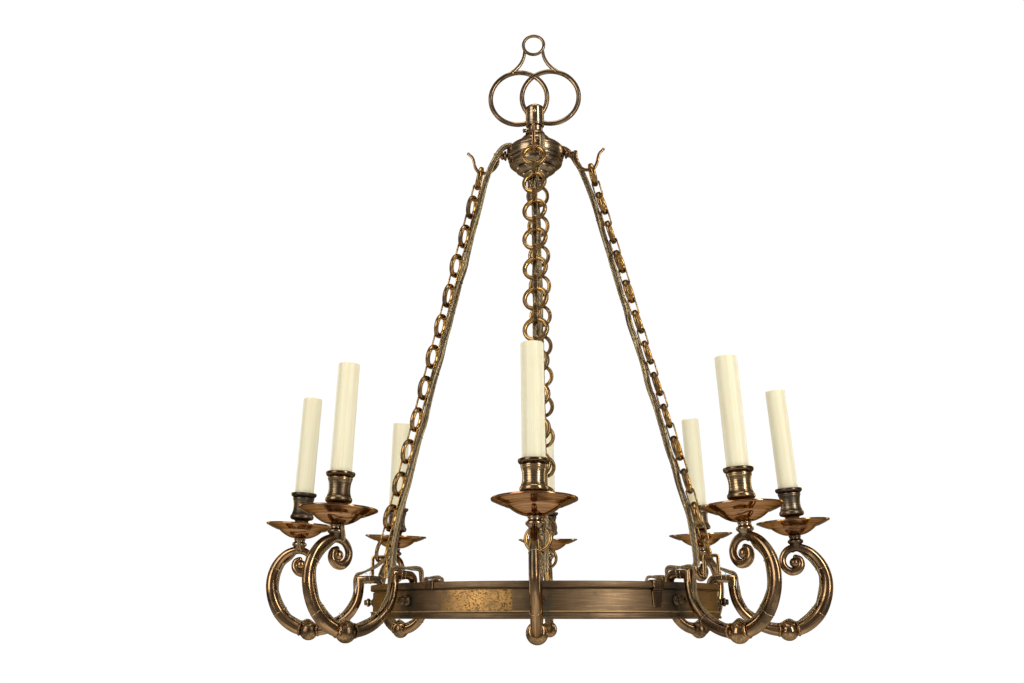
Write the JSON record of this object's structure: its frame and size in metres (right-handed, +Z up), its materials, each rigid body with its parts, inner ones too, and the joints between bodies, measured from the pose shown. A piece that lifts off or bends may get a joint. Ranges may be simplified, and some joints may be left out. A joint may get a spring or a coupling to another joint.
{
  "type": "multi arm chandelier",
  "caption": "Hoop chandelier on link chains from a turned hub with hooks and a hanging ring; scrolled arms carry drip pans, turned cups and candle sleeves.",
  "frame": {"origin": "inside top of the hanging ring, where a ceiling hook bears", "axes": "+Z up, -Y towards the front arm, +X towards the right arm"},
  "size_m": [0.6586, 0.6586, 0.7687],
  "materials": {
    "hub_brass": "aged turned brass",
    "arm_brass": "aged cast brass",
    "chain_brass": "aged drawn brass",
    "hoop_brass": "aged brushed brass",
    "pan_brass": "aged spun copper-coloured brass",
    "cup_brass": "aged turned brass",
    "screw_brass": "aged turned brass",
    "flex_cover": "twisted braided cord",
    "candle_card": "cream card"
  },
  "bodies": {
    "suspension": {"suspension_loops": "hub_brass", "suspension_collar": "hub_brass"},
    "hub": {"hub_stem": "hub_brass", "hub_canopy": "hub_brass", "hub_bowl": "hub_brass", "hook_front": "hub_brass", "hook_right": "hub_brass", "hook_back": "hub_brass", "hook_left": "hub_brass"},
    "locking_screw": {"neck_thumbscrew": "screw_brass"},
    "hoop": {"hoop_band": "hoop_brass", "wiring_harness": "flex_cover", "arm_front": "arm_brass", "knob_screw_front": "screw_brass", "drip_pan_front": "pan_brass", "candle_cup_front": "cup_brass", "arm_front_right": "arm_brass", "knob_screw_front_right": "screw_brass", "drip_pan_front_right": "pan_brass", "candle_cup_front_right": "cup_brass", "arm_right": "arm_brass", "knob_screw_right": "screw_brass", "drip_pan_right": "pan_brass", "candle_cup_right": "cup_brass", "arm_back_right": "arm_brass", "knob_screw_back_right": "screw_brass", "drip_pan_back_right": "pan_brass", "candle_cup_back_right": "cup_brass", "arm_back": "arm_brass", "knob_screw_back": "screw_brass", "drip_pan_back": "pan_brass", "candle_cup_back": "cup_brass", "arm_back_left": "arm_brass", "knob_screw_back_left": "screw_brass", "drip_pan_back_left": "pan_brass", "candle_cup_back_left": "cup_brass", "arm_left": "arm_brass", "knob_screw_left": "screw_brass", "drip_pan_left": "pan_brass", "candle_cup_left": "cup_brass", "arm_front_left": "arm_brass", "knob_screw_front_left": "screw_brass", "drip_pan_front_left": "pan_brass", "candle_cup_front_left": "cup_brass"},
    "chain_front": {"chain_front": "chain_brass", "chain_flex_front": "flex_cover"},
    "chain_right": {"chain_right": "chain_brass", "chain_flex_right": "flex_cover"},
    "chain_back": {"chain_back": "chain_brass", "chain_flex_back": "flex_cover"},
    "chain_left": {"chain_left": "chain_brass", "chain_flex_left": "flex_cover"},
    "sleeve_front": {"candle_sleeve_front": "candle_card"},
    "sleeve_front_right": {"candle_sleeve_front_right": "candle_card"},
    "sleeve_right": {"candle_sleeve_right": "candle_card"},
    "sleeve_back_right": {"candle_sleeve_back_right": "candle_card"},
    "sleeve_back": {"candle_sleeve_back": "candle_card"},
    "sleeve_back_left": {"candle_sleeve_back_left": "candle_card"},
    "sleeve_left": {"candle_sleeve_left": "candle_card"},
    "sleeve_front_left": {"candle_sleeve_front_left": "candle_card"}
  },
  "joints": [
    {"name": "fixture_swivel", "type": "hinge", "parent": "suspension", "child": "hub", "pos_m": [0, 0, -0.1338], "axis": [0, 0, 1], "range_deg": [-90, 90]},
    {"name": "locking_screw_turn", "type": "hinge", "parent": "hub", "child": "locking_screw", "pos_m": [-0.012, 0, -0.1332], "axis": [-1, 0, 0], "range_deg": [0, 540]},
    {"name": "hoop_twist", "type": "hinge", "parent": "hub", "child": "hoop", "pos_m": [0, 0, -0.7228], "axis": [0, 0, 1], "range_deg": [-6, 6], "stiffness_Nm_per_rad": 3},
    {"name": "chain_swing_front", "type": "hinge", "parent": "hub", "child": "chain_front", "pos_m": [0, -0.0694, -0.1848], "axis": [0, -1, 0], "range_deg": [-3, 3]},
    {"name": "chain_swing_right", "type": "hinge", "parent": "hub", "child": "chain_right", "pos_m": [0.0694, 0, -0.1848], "axis": [1, 0, 0], "range_deg": [-3, 3]},
    {"name": "chain_swing_back", "type": "hinge", "parent": "hub", "child": "chain_back", "pos_m": [0, 0.0694, -0.1848], "axis": [0, 1, 0], "range_deg": [-3, 3]},
    {"name": "chain_swing_left", "type": "hinge", "parent": "hub", "child": "chain_left", "pos_m": [-0.0694, 0, -0.1848], "axis": [-1, 0, 0], "range_deg": [-3, 3]},
    {"name": "sleeve_lift_front", "type": "slide", "parent": "hoop", "child": "sleeve_front", "axis": [0, 0.0593, 0.9982], "range_m": [0, 0.11]},
    {"name": "sleeve_lift_front_right", "type": "slide", "parent": "hoop", "child": "sleeve_front_right", "axis": [-0.0419, 0.0419, 0.9982], "range_m": [0, 0.11]},
    {"name": "sleeve_lift_right", "type": "slide", "parent": "hoop", "child": "sleeve_right", "axis": [-0.0593, 0, 0.9982], "range_m": [0, 0.11]},
    {"name": "sleeve_lift_back_right", "type": "slide", "parent": "hoop", "child": "sleeve_back_right", "axis": [-0.0419, -0.0419, 0.9982], "range_m": [0, 0.11]},
    {"name": "sleeve_lift_back", "type": "slide", "parent": "hoop", "child": "sleeve_back", "axis": [0, -0.0593, 0.9982], "range_m": [0, 0.11]},
    {"name": "sleeve_lift_back_left", "type": "slide", "parent": "hoop", "child": "sleeve_back_left", "axis": [0.0419, -0.0419, 0.9982], "range_m": [0, 0.11]},
    {"name": "sleeve_lift_left", "type": "slide", "parent": "hoop", "child": "sleeve_left", "axis": [0.0593, 0, 0.9982], "range_m": [0, 0.11]},
    {"name": "sleeve_lift_front_left", "type": "slide", "parent": "hoop", "child": "sleeve_front_left", "axis": [0.0419, 0.0419, 0.9982], "range_m": [0, 0.11]}
  ],
  "couplings": [
    {"joint": "chain_swing_front", "follows": "hoop_twist", "ratio": 0.3931},
    {"joint": "chain_swing_right", "follows": "hoop_twist", "ratio": 0.3931},
    {"joint": "chain_swing_back", "follows": "hoop_twist", "ratio": 0.3931},
    {"joint": "chain_swing_left", "follows": "hoop_twist", "ratio": 0.3931}
  ]
}
